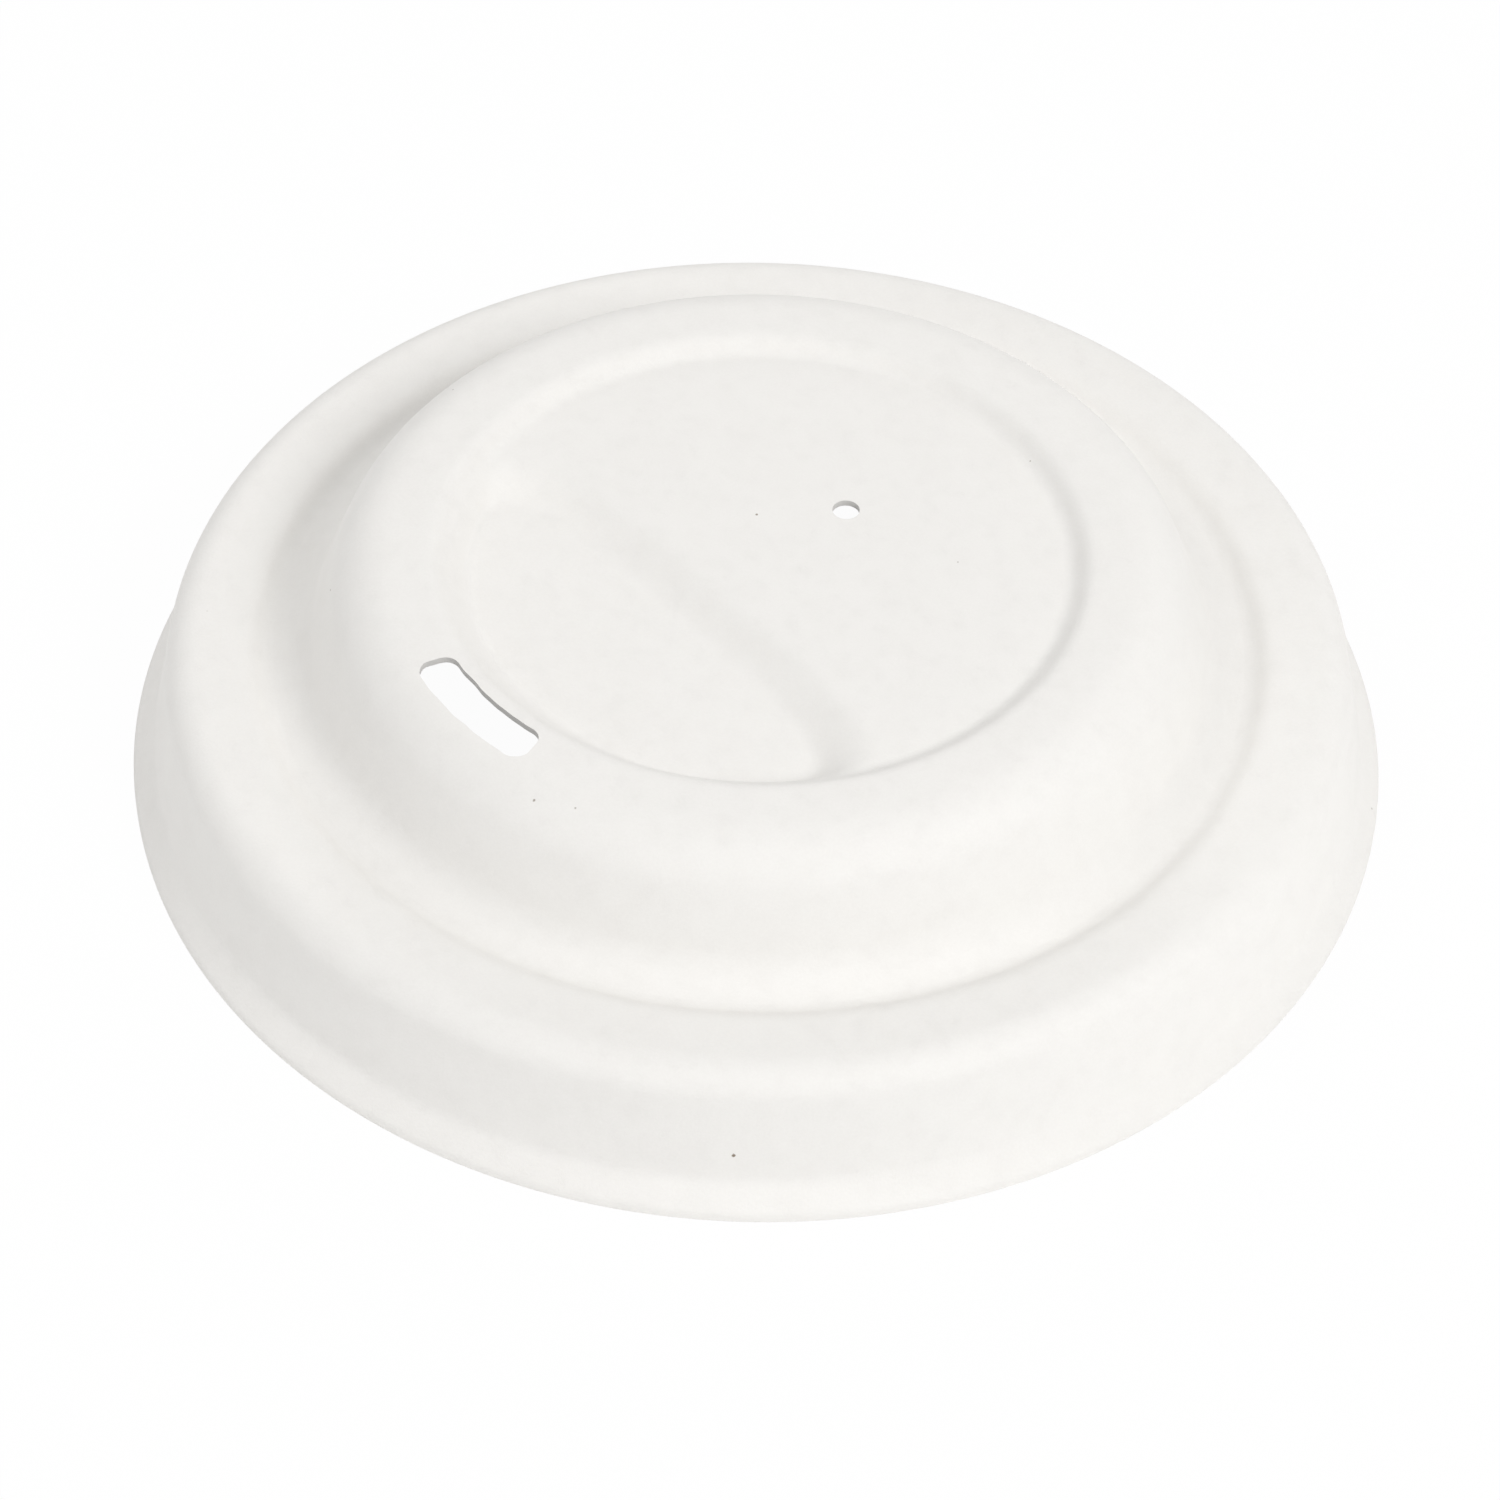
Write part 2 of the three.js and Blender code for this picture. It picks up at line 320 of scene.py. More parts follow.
@dataclass
class Openings:
    """The sip slot and the vent.

    Attributes:
        slot_radius: Axis to the slot's centre line, in mm.
        slot_width: Across the slot, in mm.
        slot_length: Along its centre line, in mm.
        slot_corner: Rounding of its ends, in mm.
        vent_diameter: In mm.
        vent_offset: Axis to the vent, away from the slot, in mm.
        raggedness: How far the slot's cut edge strays, in mm.
        ragged_length: Length over which it strays, in mm.
        ragged_seed: Seed of its straying. Above 0, because for 0 the noise takes the time.
        outer_steps: Edges along the slot's outer side.
        inner_steps: Edges along its inner side.
        corner_steps: Edges round each of its corners.
        vent_steps: Edges round the vent.
        merge: Distance within which the slot outline's ends are joined, in mm.
    """

    slot_radius: float = 25.9
    slot_width: float = 2.95
    slot_length: float = 11.3
    slot_corner: float = 1.2
    vent_diameter: float = 2.0
    vent_offset: float = 8.1
    raggedness: float = 0.09
    ragged_length: float = 1.1
    ragged_seed: int = 1
    outer_steps: int = 26
    inner_steps: int = 24
    corner_steps: int = 8
    vent_steps: int = 40
    merge: float = 0.02

    def slot_cutter(self, low: float, high: float) -> bmesh.types.BMesh:
        """Makes the slot's cutter, a curved bar with rounded ends.

        Args:
            low: Its underside, in mm.
            high: Its top, in mm.

        Returns:
            The cutter's mesh.
        """
        outer, inner = (self.slot_radius + side * self.slot_width / 2 for side in (1, -1))
        half = self.slot_length / 2 / self.slot_radius
        outer_half = half - math.asin(self.slot_corner / (outer - self.slot_corner))
        inner_half = half - math.asin(self.slot_corner / (inner + self.slot_corner))
        pen = PlanPen(low, self.slot_corner, self.corner_steps)
        pen.start(outer, -outer_half)
        pen.swing(Vector((0, 0)), 2 * outer_half, self.outer_steps)
        pen.turn_corner(outer - self.slot_corner, outer_half, outer_half, half + math.pi / 2)
        pen.turn_corner(inner + self.slot_corner, inner_half, half + math.pi / 2, inner_half + math.pi)
        pen.swing(Vector((0, 0)), -2 * inner_half, self.inner_steps)
        pen.turn_corner(inner + self.slot_corner, -inner_half, math.pi - inner_half, 1.5 * math.pi - half)
        pen.turn_corner(outer - self.slot_corner, -outer_half, -half - math.pi / 2, -outer_half)
        mesh = pen.fill(self.merge)
        noise.seed_set(self.ragged_seed)
        for vert in mesh.verts:
            stray = noise.noise_vector(vert.co / (self.ragged_length * MM))
            vert.co += stray * self.raggedness * MM * Vector((1, 1, 0))
        raise_sheet(mesh, high - low)
        return mesh

    def vent_cutter(self, low: float, high: float) -> bmesh.types.BMesh:
        """Makes the vent's cutter.

        Args:
            low: Its underside, in mm.
            high: Its top, in mm.

        Returns:
            The cutter's mesh.
        """
        mesh = bmesh.new()
        middle = Matrix.Translation((0, self.vent_offset * MM, low * MM))
        bmesh.ops.create_circle(mesh, cap_ends=True, segments=self.vent_steps,
                                radius=self.vent_diameter / 2 * MM, matrix=middle)
        raise_sheet(mesh, high - low)
        return mesh


def raise_sheet(mesh: bmesh.types.BMesh, height: float) -> None:
    """Extrudes a flat outline upward into a closed block.

    Args:
        mesh: Mesh that holds only the outline's faces.
        height: In mm.
    """
    grown = bmesh.ops.extrude_face_region(mesh, geom=mesh.faces[:], use_keep_orig=True)["geom"]
    verts = [item for item in grown if isinstance(item, bmesh.types.BMVert)]
    bmesh.ops.translate(mesh, verts=verts, vec=(0, 0, height * MM))
    bmesh.ops.recalc_face_normals(mesh, faces=mesh.faces[:])


def as_object(mesh: bmesh.types.BMesh, name: str) -> bpy.types.Object:
    """Turns a bmesh into an object in the scene, and frees it.

    Args:
        mesh: The finished bmesh.
        name: Object name.

    Returns:
        The new object, at the origin.
    """
    data = bpy.data.meshes.new(name)
    mesh.to_mesh(data)
    mesh.free()
    piece = bpy.data.objects.new(name, data)
    bpy.context.scene.collection.objects.link(piece)
    return piece


def take_result(piece: bpy.types.Object) -> None:
    """Applies an object's modifiers to its mesh.

    Args:
        piece: Object with live modifiers.
    """
    depsgraph = bpy.context.evaluated_depsgraph_get()
    data = bpy.data.meshes.new_from_object(piece.evaluated_get(depsgraph))
    piece.modifiers.clear()
    piece.data = data


@dataclass
class PressedLid:
    """The whole lid: one thin sheet pressed from wet fibre.

    Attributes:
        radius: Lip radius in mm, from the frame.
        height: Overall height in mm, from the frame.
        sheet: Thickness in mm.
        lip_edge: Height of the lip's upright cut edge, in mm.
        lip_flare: How far the lip stands out from the crease above it, in mm.
        crease_height: Height of that crease, in mm.
        crease_fillet: Its rounding, in mm.
        skirt_lean: Degrees from upright.
        shoulder_height: Height of the sharp corner before its fillet, in mm.
        shoulder_fillet: Its rounding, in mm.
        ledge_width: Shoulder to the bottom of the channel, in mm.
        ledge_rise: Slope of the channel's outer wall, in degrees.
        ledge_bend: Shoulder to the top of that wall, in mm.
        ledge_bend_fall: Shoulder down to the top of that wall, in mm.
        ledge_fillet: Rounding of the top of that wall, in mm.
        channel_fillet: Rounding of the channel's bottom, in mm.
        foot_run: Bottom of the channel in to the foot of the plateau wall, in mm.
        foot_rise: Slope of that run, in degrees.
        foot_fillet: Rounding of the foot, in mm.
        plateau_lean: Degrees from upright of the plateau's wall.
        plateau_fillet: Rounding of the plateau's edge, in mm.
        recess_radius: Axis to the foot of the recess wall, in mm.
        recess_depth: Below the plateau, in mm.
        recess_run: Plan width of the recess wall, in mm.
        recess_foot_fillet: Rounding of its foot, in mm.
        recess_edge_fillet: Rounding of its upper edge, in mm.
        fine_rim: Width of the fine mesh on the recess floor beside its wall, in mm.
        cut_below: How far the cutters reach below the plateau, in mm.
        cut_above: How far they stand over it, in mm.
        tolerance: Distance that counts as none at the lip, in mm.
        merge: Distance within which points are joined, in mm.
        sharp_angle: Edges that turn by more degrees than this stay sharp.
        turn_steps: Steps round the axis.
        arc_step: Length of one step along a fillet, in mm.
    """

    radius: float
    height: float
    sheet: float = 0.5
    lip_edge: float = 0.38
    lip_flare: float = 1.65
    crease_height: float = 2.2
    crease_fillet: float = 2.0
    skirt_lean: float = 12.0
    shoulder_height: float = 10.88
    shoulder_fillet: float = 2.4
    ledge_width: float = 6.85
    ledge_rise: float = 36.0
    ledge_bend: float = 5.65
    ledge_bend_fall: float = 0.35
    ledge_fillet: float = 2.5
    channel_fillet: float = 1.6
    foot_run: float = 2.75
    foot_rise: float = 3.0
    foot_fillet: float = 3.4
    plateau_lean: float = 22.0
    plateau_fillet: float = 4.7
    recess_radius: float = 22.45
    recess_depth: float = 1.1
    recess_run: float = 1.22
    recess_foot_fillet: float = 1.3
    recess_edge_fillet: float = 1.4
    fine_rim: float = 3.5
    cut_below: float = 4.0
    cut_above: float = 2.0
    tolerance: float = 0.02
    merge: float = 0.01
    sharp_angle: float = 65.0
    turn_steps: int = 288
    arc_step: float = 0.42

    def corners(self) -> list[Corner]:
        """Works out the corners of the upper face.

        Returns:
            Corners from the axis to the lip.
        """
        floor = self.height - self.recess_depth
        crease = self.radius - self.lip_flare
        skirt_drop = self.shoulder_height - self.crease_height
        shoulder = crease - skirt_drop * math.tan(math.radians(self.skirt_lean))
        bend_height = self.shoulder_height - self.ledge_bend_fall
        channel = shoulder - self.ledge_width
        wall_width = self.ledge_width - self.ledge_bend
        channel_height = bend_height - wall_width * math.tan(math.radians(self.ledge_rise))
        foot = channel - self.foot_run
        foot_height = channel_height + self.foot_run * math.tan(math.radians(self.foot_rise))
        plateau = foot - (self.height - foot_height) * math.tan(math.radians(self.plateau_lean))
        return [
            Corner(0.0, floor),
            Corner(self.recess_radius - self.fine_rim, floor, spacing=0.55),
            Corner(self.recess_radius, floor, self.recess_foot_fillet, spacing=0.2),
            Corner(self.recess_radius + self.recess_run, self.height, self.recess_edge_fillet, spacing=0.25),
            Corner(plateau, self.height, self.plateau_fillet, spacing=0.8),
            Corner(foot, foot_height, self.foot_fillet),
            Corner(channel, channel_height, self.channel_fillet),
            Corner(shoulder - self.ledge_bend, bend_height, self.ledge_fillet),
            Corner(shoulder, self.shoulder_height, self.shoulder_fillet),
            Corner(crease, self.crease_height, self.crease_fillet),
            Corner(self.radius, self.lip_edge, spacing=0.5),
        ]

    def build(self, pocket: Pocket, openings: Openings) -> bpy.types.Object:
        """Presses the sheet, gives it its wall and cuts its openings.

        Args:
            pocket: The drinking pocket.
            openings: The slot and the vent.

        Returns:
            The lid's object.
        """
        pen = SectionPen(self.arc_step)
        pen.draw(self.corners())
        mesh = pen.mesh
        bmesh.ops.spin(mesh, geom=mesh.verts[:] + mesh.edges[:], cent=(0, 0, 0), axis=(0, 0, 1),
                       dvec=(0, 0, 0), angle=2 * math.pi, steps=self.turn_steps, use_merge=True,
                       use_duplicate=False)
        bmesh.ops.remove_doubles(mesh, verts=mesh.verts[:], dist=self.merge * MM)
        bmesh.ops.recalc_face_normals(mesh, faces=mesh.faces[:])
        self.face_up(mesh)
        for vert in mesh.verts:
            vert.co.z -= pocket.drop(vert.co.x / MM, vert.co.y / MM) * MM
        mesh.normal_update()
        self.thicken(mesh)
        lid = as_object(mesh, "pressed_lid")
        low = self.height - self.cut_below
        high = self.height + self.cut_above
        for cutter_mesh in (openings.slot_cutter(low, high), openings.vent_cutter(low, high)):
            cutter = as_object(cutter_mesh, "cutter")
            cut = lid.modifiers.new("cut", "BOOLEAN")
            cut.operation = "DIFFERENCE"
            cut.solver = "EXACT"
            cut.object = cutter
            take_result(lid)
            bpy.data.objects.remove(cutter)
        for polygon in lid.data.polygons:
            polygon.use_smooth = True
        lid.data.set_sharp_from_angle(angle=math.radians(self.sharp_angle))
        return lid

    def face_up(self, mesh: bmesh.types.BMesh) -> None:
        """Turns an open sheet so that its faces look up and out.

        Args:
            mesh: The pressed sheet, before it has a wall.
        """
        if sum(face.normal.z for face in mesh.faces) < 0:
            bmesh.ops.reverse_faces(mesh, faces=mesh.faces[:])

    def thicken(self, mesh: bmesh.types.BMesh) -> None:
        """Gives the sheet its wall and squares the lip's cut edge on the table.

        Args:
            mesh: The pressed sheet.
        """
        bmesh.ops.solidify(mesh, geom=mesh.faces[:], thickness=self.sheet * MM)
        rim = [edge for edge in mesh.edges if self.crosses_lip(edge)]
        slant = self.lip_flare / (self.crease_height - self.lip_edge)
        limit = (self.radius - self.tolerance) * MM
        lower = {vert for edge in rim for vert in edge.verts if vert.co.xy.length < limit}
        for vert in lower:
            outward = vert.co.xy.normalized() * vert.co.z * slant
            vert.co = (vert.co.x + outward.x, vert.co.y + outward.y, 0.0)
        added = bmesh.ops.subdivide_edges(mesh, edges=rim, cuts=1)["geom_inner"]
        for vert in added:
            if isinstance(vert, bmesh.types.BMVert):
                corner = vert.co.xy.normalized() * self.radius * MM
                vert.co = (corner.x, corner.y, 0.0)

    def crosses_lip(self, edge: bmesh.types.BMEdge) -> bool:
        """Tells whether an edge crosses the sheet's thickness at the lip.

        Args:
            edge: Any edge of the thickened sheet.

        Returns:
            True for an edge from the upper to the lower face.
        """
        inner, outer = sorted(vert.co.xy.length / MM for vert in edge.verts)
        top = max(vert.co.z for vert in edge.verts) / MM
        reaches_lip = outer > self.radius - self.tolerance and top < self.lip_edge + self.tolerance
        return reaches_lip and inner < outer - 0.5 * self.sheet


class Signal:
    """A socket of a material whose arithmetic adds Math nodes."""

    def __init__(self, board: "NodeBoard", socket: bpy.types.NodeSocket) -> None:
        """Wraps a socket.

        Args:
            board: The board that the socket's node is on.
            socket: Output socket.
        """
        self.board = board
        self.socket = socket

    def output(self, name: str) -> "Signal":
        """Gives another output of the same node."""
        return Signal(self.board, self.socket.node.outputs[name])

    def math(self, operation: Operation, *others: Union["Signal", Number]) -> "Signal":
        """Adds one Math node with this socket as its first operand."""
        return self.board.node("ShaderNodeMath", {"operation": operation.value}, [self, *others])

    def __add__(self, other: Union["Signal", Number]) -> "Signal":
        """Sum."""
        return self.math(Operation.ADD, other)

    __radd__ = __add__

    def __mul__(self, other: Union["Signal", Number]) -> "Signal":
        """Product."""
        return self.math(Operation.MULTIPLY, other)

    __rmul__ = __mul__

    def __sub__(self, other: Union["Signal", Number]) -> "Signal":
        """Difference."""
        return self.math(Operation.SUBTRACT, other)

    def __rsub__(self, other: Number) -> "Signal":
        """Difference from a number."""
        return self.board.node("ShaderNodeMath", {"operation": Operation.SUBTRACT.value}, [other, self])

    def window(self, low: Number, high: Number) -> "Signal":
        """Rises smoothly from 0 at low to 1 at high."""
        return self.board.node(
            "ShaderNodeMapRange", {"interpolation_type": "SMOOTHSTEP"}, [self, low, high, 0.0, 1.0])


class NodeBoard:
    """Makes nodes in one node tree."""

    def __init__(self, tree: bpy.types.NodeTree) -> None:
        """Clears the tree.

        Args:
            tree: A material's or world's node tree.
        """
        tree.nodes.clear()
        self.tree = tree

    def node(self, kind: str, settings: dict[str, Any], inputs: Any, output: Union[int, str] = 0) -> Signal:
        """Adds a node, sets it up and joins its inputs.

        Args:
            kind: Node type.
            settings: Attributes, set first.
            inputs: Values or signals, as a list by position or a dict by socket name.
            output: Which output to give back.

        Returns:
            That output.
        """
        made = self.tree.nodes.new(kind)
        for key, value in settings.items():
            setattr(made, key, value)
        pairs = inputs.items() if isinstance(inputs, dict) else enumerate(inputs)
        for key, value in pairs:
            if isinstance(value, Signal):
                self.tree.links.new(value.socket, made.inputs[key])
            elif value is not None:
                made.inputs[key].default_value = value
        return Signal(self, made.outputs[output])

    def shown(self) -> Signal:
        """Marks the rays that show the backdrop to the camera.

        Returns:
            1 for such a ray, otherwise 0.
        """
        total: Signal | None = None
        for ray in Ray:
            hit = self.node("ShaderNodeLightPath", {}, {}, ray.value)
            total = hit if total is None else total.math(Operation.MAXIMUM, hit)
        return total

    def finish(self, kind: str, inputs: dict[str, Any]) -> None:
        """Adds the output node.

        Args:
            kind: Output node type.
            inputs: Its inputs by name.
        """
        made = self.tree.nodes.new(kind)
        for key, value in inputs.items():
            self.tree.links.new(value.socket, made.inputs[key])


@dataclass(frozen=True)
class Speck:
    """One dark crumb of bark in the pulp.

    Attributes:
        near: A point close to it, in mm. It sits on the surface nearest to that point.
        radius: In mm.
        darkness: Share of the bark's colour at its middle.
    """

    near: tuple[float, float, float]
    radius: float
    darkness: float

    def settle(self, piece: bpy.types.Object) -> Vector:
        """Finds where the speck sits.

        Args:
            piece: The lid.

        Returns:
            Its place on the surface, in metres.
        """
        _, place, _, _ = piece.closest_point_on_mesh(Vector(self.near) * MM)
        return place


SPECKS = [
    Speck(near=(32.8, -29.8, 4.4), radius=0.17, darkness=0.95),
    Speck(near=(9.1, -28.1, 18.6), radius=0.12, darkness=0.7),
    Speck(near=(11.6, -26.3, 18.6), radius=0.1, darkness=0.5),
    Speck(near=(-3.7, 2.7, 17.5), radius=0.13, darkness=0.8),
    Speck(near=(-18.5, -25.1, 15.7), radius=0.11, darkness=0.5),
    Speck(near=(35.6, 29.2, 0.8), radius=0.1, darkness=0.5),
    Speck(near=(3.8, -33.6, 9.9), radius=0.1, darkness=0.5),
    Speck(near=(-13.4, -17.5, 16.0), radius=0.09, darkness=0.6),
    Speck(near=(9.3, 10.7, 17.5), radius=0.09, darkness=0.5),
    Speck(near=(4.7, 22.1, 17.6), radius=0.09, darkness=0.5),
    Speck(near=(-28.5, -6.5, 18.6), radius=0.1, darkness=0.4),
]


@dataclass(frozen=True)
class MouldedFibre:
    """Off-white pressed plant fibre: matte, mottled, with short fibres, pits and a few specks.

    Attributes:
        pale: Colour of its clean areas, linear RGB.
        deep: Colour of its mottling.
        speck: Colour of bark specks.
        roughness: Surface roughness.
        specular: Specular IOR level.
        bump_strength: Share of the relief that shows.
        bump_depth: Depth of the relief, in mm.
        cloud_scale: Blotches per metre, roughly, as for the scales below.
        grain_scale: Of the fine grain.
        fibre_scale: Of the fibres, along and across them.
        cover_scale: Of the patches in which fibres show.
        crumb_scale: Of the faint dots.
        pit_scale: Of the pin holes.
        patch_scale: Of the patches in which pin holes show.
        ragged_scale: Of the unevenness of a speck's edge.
        crumb_darkness: Share of the bark's colour in the faint dots.
    """

    pale: tuple[float, float, float] = (0.882, 0.868, 0.842)
    deep: tuple[float, float, float] = (0.838, 0.82, 0.793)
    speck: tuple[float, float, float] = (0.22, 0.17, 0.12)
    roughness: float = 0.92
    specular: float = 0.25
    bump_strength: float = 0.95
    bump_depth: float = 0.03
    cloud_scale: float = 420.0
    grain_scale: float = 5200.0
    fibre_scale: tuple[float, float, float] = (1100.0, 6500.0, 4800.0)
    cover_scale: float = 900.0
    crumb_scale: float = 230.0
    pit_scale: float = 620.0
    patch_scale: float = 180.0
    ragged_scale: float = 7000.0
    crumb_darkness: float = 0.25

    def make(self, piece: bpy.types.Object, specks: list[Speck]) -> bpy.types.Material:
        """Builds the material.

        Args:
            piece: The lid, on which the specks settle.
            specks: Dark specks at given places.

        Returns:
            The finished material.
        """
        material = bpy.data.materials.new("moulded_fibre")
        material.use_nodes = True
        board = NodeBoard(material.node_tree)
        place = board.node("ShaderNodeTexCoord", {}, {}, "Object")
        cloud = board.node("ShaderNodeTexNoise", {}, {
            "Vector": place, "Scale": self.cloud_scale, "Detail": 4.0})
        grain = board.node("ShaderNodeTexNoise", {}, {
            "Vector": place, "Scale": self.grain_scale, "Detail": 4.0, "Roughness": 0.62})
        fibres = self.fibres(board, place)
        crumbs = self.crumbs(board, place)
        for speck in specks:
            spot = self.spot(board, place, speck, speck.settle(piece))
            crumbs = crumbs.math(Operation.MAXIMUM, spot)
        pits = self.pits(board, place)
        tone = cloud.window(0.35, 0.7) * 0.22 + grain.window(0.35, 0.65) * 0.28 + fibres * 0.05
        body = self.mix(board, tone, self.pale, self.deep)
        colour = self.mix(board, crumbs, body, self.speck)
        relief = grain * 0.6 + fibres * 0.12 - pits * 0.5 + cloud * 0.3
        bump = board.node("ShaderNodeBump", {}, {
            "Strength": self.bump_strength, "Distance": self.bump_depth * MM, "Height": relief})
        surface = board.node("ShaderNodeBsdfPrincipled", {}, {
            "Base Color": colour, "Roughness": self.roughness, "Normal": bump,
            "Specular IOR Level": self.specular})
        board.finish("ShaderNodeOutputMaterial", {"Surface": surface})
        return material

    def mix(self, board: NodeBoard, factor: Signal, first: Any, second: Any) -> Signal:
        """Blends two colours, given as triples or signals."""
        first, second = ((*item, 1.0) if isinstance(item, tuple) else item for item in (first, second))
        return board.node("ShaderNodeMix", {"data_type": "RGBA"}, {0: factor, 6: first, 7: second}, 2)

    def fibres(self, board: NodeBoard, place: Signal) -> Signal:
        """Short pressed fibres: thin ridges of stretched noise in three directions.

        Args:
            board: The material's board.
            place: Object coordinates.

        Returns:
            1 on a fibre, 0 beside it.
        """
        total: Signal | None = None
        for turn, tilt in ((0.3, 0.2), (1.4, -0.5), (2.5, 0.7)):
            turned = board.node("ShaderNodeMapping", {}, {
                "Vector": place, "Rotation": (tilt, 0.4 * tilt, turn), "Scale": self.fibre_scale})
            strand = board.node("ShaderNodeTexNoise", {}, {
                "Vector": turned, "Scale": 1.0, "Detail": 2.0, "Distortion": 0.8})
            ridge = (strand - 0.5).math(Operation.ABSOLUTE).window(0.03, 0.0)
            total = ridge if total is None else total.math(Operation.MAXIMUM, ridge)
        cover = board.node("ShaderNodeTexNoise", {}, {
            "Vector": place, "Scale": self.cover_scale, "Detail": 2.0})
        return total * cover.window(0.48, 0.66)

    def spot(self, board: NodeBoard, place: Signal, speck: Speck, middle: Vector) -> Signal:
        """One speck, with an uneven edge.

        Args:
            board: The material's board.
            place: Object coordinates.
            speck: Its size and darkness.
            middle: Where it sits, in metres.

        Returns:
            The share of the bark's colour.
        """
        ragged = board.node("ShaderNodeTexNoise", {}, {
            "Vector": place, "Scale": self.ragged_scale, "Detail": 1.0})
        distance = board.node("ShaderNodeVectorMath", {"operation": "DISTANCE"}, [place, middle], "Value")
        edge = distance * (ragged * 1.2 + 0.4)
        return edge.window(speck.radius * MM, 0.45 * speck.radius * MM) * speck.darkness

    def crumbs(self, board: NodeBoard, place: Signal) -> Signal:
        """Faint dots scattered through the pulp: small balls in a few cells of a Voronoi field.

        Args:
            board: The material's board.
            place: Object coordinates.

        Returns:
            The share of the bark's colour.
        """
        distance = board.node("ShaderNodeTexVoronoi", {}, {
            "Vector": place, "Scale": self.crumb_scale}, "Distance")
        colour = distance.output("Color")
        chosen = board.node("ShaderNodeSeparateColor", {}, {"Color": colour}, 0).window(0.84, 0.88)
        size = board.node("ShaderNodeSeparateColor", {}, {"Color": colour}, 1) * 0.016 + 0.006
        inside = (size - distance).window(-0.004, 0.012)
        return inside * chosen * self.crumb_darkness

    def pits(self, board: NodeBoard, place: Signal) -> Signal:
        """Pin holes left by bubbles.

        Args:
            board: The material's board.
            place: Object coordinates.

        Returns:
            1 in a pin hole, 0 beside it.
        """
        cells = board.node("ShaderNodeTexVoronoi", {}, {"Vector": place, "Scale": self.pit_scale}, "Distance")
        cover = board.node("ShaderNodeTexNoise", {}, {
            "Vector": place, "Scale": self.patch_scale, "Detail": 2.0})
        return (0.16 - cells).window(0.0, 0.12) * cover.window(0.5, 0.68)


@dataclass(frozen=True)
class PaperFloor:
    """White sweep under the lid, which keeps a faint shadow.

    Attributes:
        tone: Reflectance.
        glow: Share of plain white that the camera sees in it.
        reach: Axis to its edges, in metres.
    """

    tone: float = 0.9
    glow: float = 0.97
    reach: float = 4.0

    def make(self) -> bpy.types.Material:
        """Builds the material.

        Returns:
            The finished material.
        """
        material = bpy.data.materials.new("paper_floor")
        material.use_nodes = True
        board = NodeBoard(material.node_tree)
        matte = board.node("ShaderNodeBsdfDiffuse", {}, {"Color": (self.tone, self.tone, self.tone, 1.0)})
        white = board.node("ShaderNodeEmission", {}, {"Color": WHITE, "Strength": 1.0})
        surface = board.node("ShaderNodeMixShader", {}, [board.shown() * self.glow, matte, white])
        board.finish("ShaderNodeOutputMaterial", {"Surface": surface})
        return material


@dataclass(frozen=True)
class Lamp:
    """One soft square lamp that looks at the lid.

    Attributes:
        name: Object name.
        around: Its direction in plan, in degrees from the camera's right, with 90 away from it.
        rise: Its height over the table, in degrees.
        power: In watts.
    """

    name: str
    around: float
    rise: float
    power: float


LAMPS = [
    Lamp("key", around=-45.0, rise=41.0, power=4.5),
    Lamp("right_fill", around=0.0, rise=35.0, power=0.87),
    Lamp("left_fill", around=180.0, rise=53.0, power=2.15),
    Lamp("front_fill", around=-135.0, rise=20.0, power=0.75),
    Lamp("back_fill", around=90.0, rise=20.0, power=1.64),
]


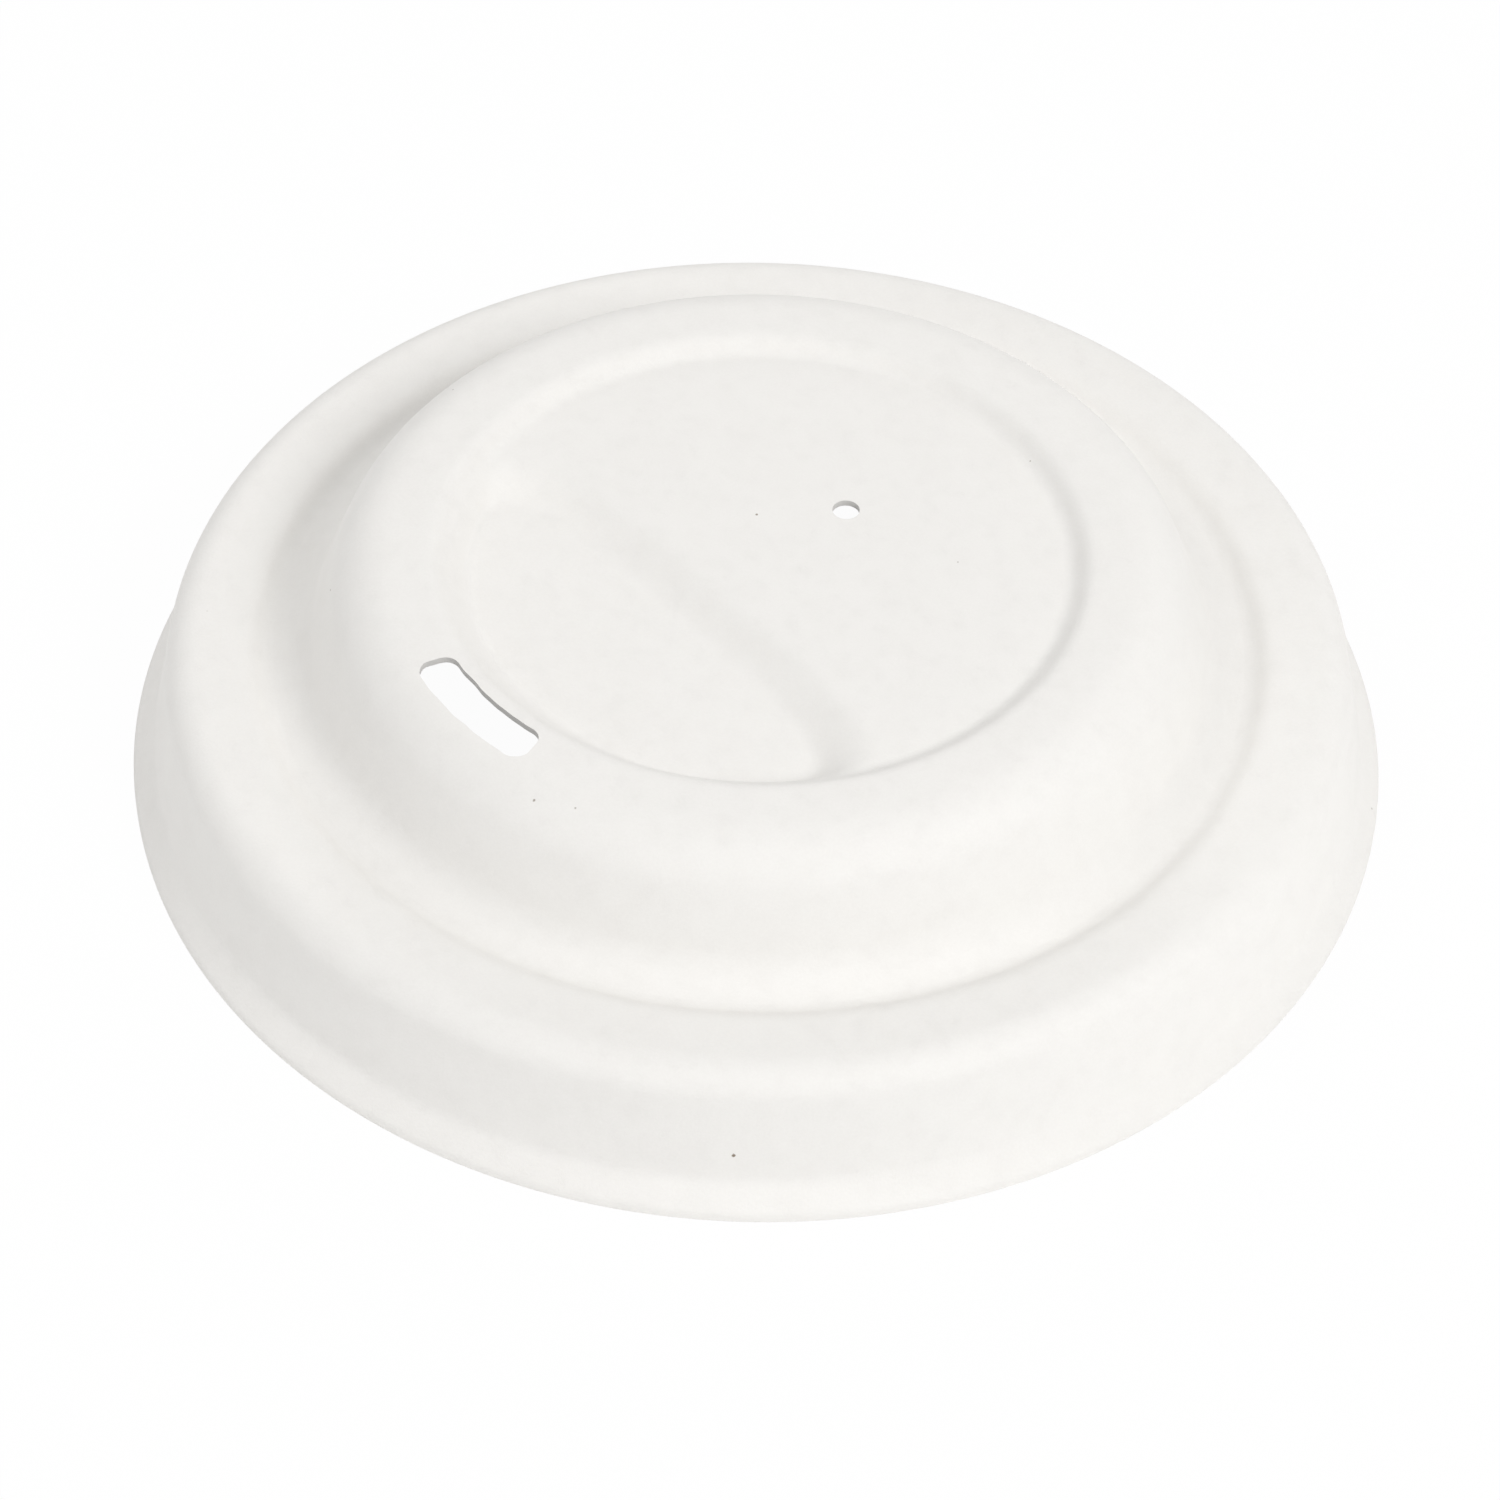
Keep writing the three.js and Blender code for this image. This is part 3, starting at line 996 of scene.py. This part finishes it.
@dataclass
class Studio:
    """Camera, lights, world and floor.

    Attributes:
        focal_px: Focal length in pixels of the photo's frame.
        frame_px: Width of the photo's frame in pixels.
        elevation: Of the camera, in degrees.
        roll: Of the camera, in degrees.
        turn: Of camera and lamps about +Z, in degrees, from a camera that looks along +Y.
        aim_right: Offset of the lid's origin to the right, in mm.
        aim_down: Offset of the lid's origin downward, in mm.
        distance: Depth of the lid's origin, in mm.
        sensor: Width of the camera's sensor, in mm.
        clip_start: Nearest distance that the camera shows, in metres.
        lamp_reach: Lid to each lamp, in metres.
        lamp_size: Side of each lamp, in metres.
        room_light: Strength of the even white world.
    """

    focal_px: float = 4000.0
    frame_px: float = 1500.0
    elevation: float = 45.84
    roll: float = -1.32
    turn: float = 49.0
    aim_right: float = 0.53
    aim_down: float = -1.68
    distance: float = 300.8
    sensor: float = 36.0
    clip_start: float = 0.01
    lamp_reach: float = 1.0
    lamp_size: float = 0.38
    room_light: float = 0.42

    def axes(self) -> tuple[Vector, Vector, Vector]:
        """Works out the camera's right, down and forward directions.

        Returns:
            Three unit vectors in the row frame.
        """
        rise, roll = math.radians(self.elevation), math.radians(self.roll)
        right = Vector((1.0, 0.0, 0.0))
        forward = Vector((0.0, math.cos(rise), -math.sin(rise)))
        down = forward.cross(right)
        rolled_right = math.cos(roll) * right + math.sin(roll) * down
        rolled_down = -math.sin(roll) * right + math.cos(roll) * down
        spin = Matrix.Rotation(math.radians(self.turn), 3, "Z")
        return spin @ rolled_right, spin @ rolled_down, spin @ forward

    def place_camera(self) -> None:
        """Sets the camera where the photo was taken from."""
        right, down, forward = self.axes()
        data = bpy.data.cameras.new("photo_camera")
        data.sensor_width = self.sensor
        data.lens = self.focal_px / self.frame_px * self.sensor
        data.clip_start = self.clip_start
        camera = bpy.data.objects.new("photo_camera", data)
        place = -(self.aim_right * right + self.aim_down * down + self.distance * forward) * MM
        turned = Matrix((right, -down, -forward)).transposed().to_4x4()
        camera.matrix_world = Matrix.Translation(place) @ turned
        bpy.context.scene.collection.objects.link(camera)
        bpy.context.scene.camera = camera

    def add_lamp(self, lamp: Lamp) -> None:
        """Adds one lamp.

        Args:
            lamp: Its direction and power.
        """
        data = bpy.data.lights.new(lamp.name, "AREA")
        data.size = self.lamp_size
        data.energy = lamp.power
        light = bpy.data.objects.new(lamp.name, data)
        heading = math.radians(self.turn + lamp.around)
        climb = math.radians(lamp.rise)
        across, away = math.cos(heading) * math.cos(climb), math.sin(heading) * math.cos(climb)
        towards = Vector((across, away, math.sin(climb)))
        facing = towards.to_track_quat("Z", "Y").to_matrix().to_4x4()
        light.matrix_world = Matrix.Translation(towards * self.lamp_reach) @ facing
        bpy.context.scene.collection.objects.link(light)

    def fill_room(self) -> None:
        """Makes an even white world, plain white where the camera sees it."""
        world = bpy.data.worlds.new("white_room")
        world.use_nodes = True
        bpy.context.scene.world = world
        board = NodeBoard(world.node_tree)
        ambient = board.node("ShaderNodeBackground", {}, {"Color": WHITE, "Strength": self.room_light})
        white = board.node("ShaderNodeBackground", {}, {"Color": WHITE, "Strength": 1.0})
        surface = board.node("ShaderNodeMixShader", {}, [board.shown(), ambient, white])
        board.finish("ShaderNodeOutputWorld", {"Surface": surface})

    def lay_floor(self, paper: PaperFloor) -> None:
        """Lays the floor under the lip.

        Args:
            paper: Its look and size.
        """
        mesh = bmesh.new()
        bmesh.ops.create_grid(mesh, x_segments=1, y_segments=1, size=paper.reach)
        floor = as_object(mesh, "floor")
        floor.data.materials.append(paper.make())


def main() -> None:
    """Builds the scene in order and reports each piece."""
    logging.basicConfig(level=logging.INFO, format="%(name)s: %(message)s")
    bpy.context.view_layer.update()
    _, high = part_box("lid")
    lid = PressedLid(radius=high[0] / MM, height=high[2] / MM).build(Pocket(), Openings())
    lid.data.materials.clear()
    lid.data.materials.append(MouldedFibre().make(lid, SPECKS))
    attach(lid, "root")
    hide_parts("lid")
    LOG.info("%s: %d faces", lid.name, len(lid.data.polygons))
    studio = Studio()
    studio.lay_floor(PaperFloor())
    for lamp in LAMPS:
        studio.add_lamp(lamp)
    studio.fill_room()
    studio.place_camera()
    LOG.info("studio: %d lamps", len(LAMPS))
    bpy.context.scene.view_settings.view_transform = "Standard"


if __name__ == "__main__":
    main()
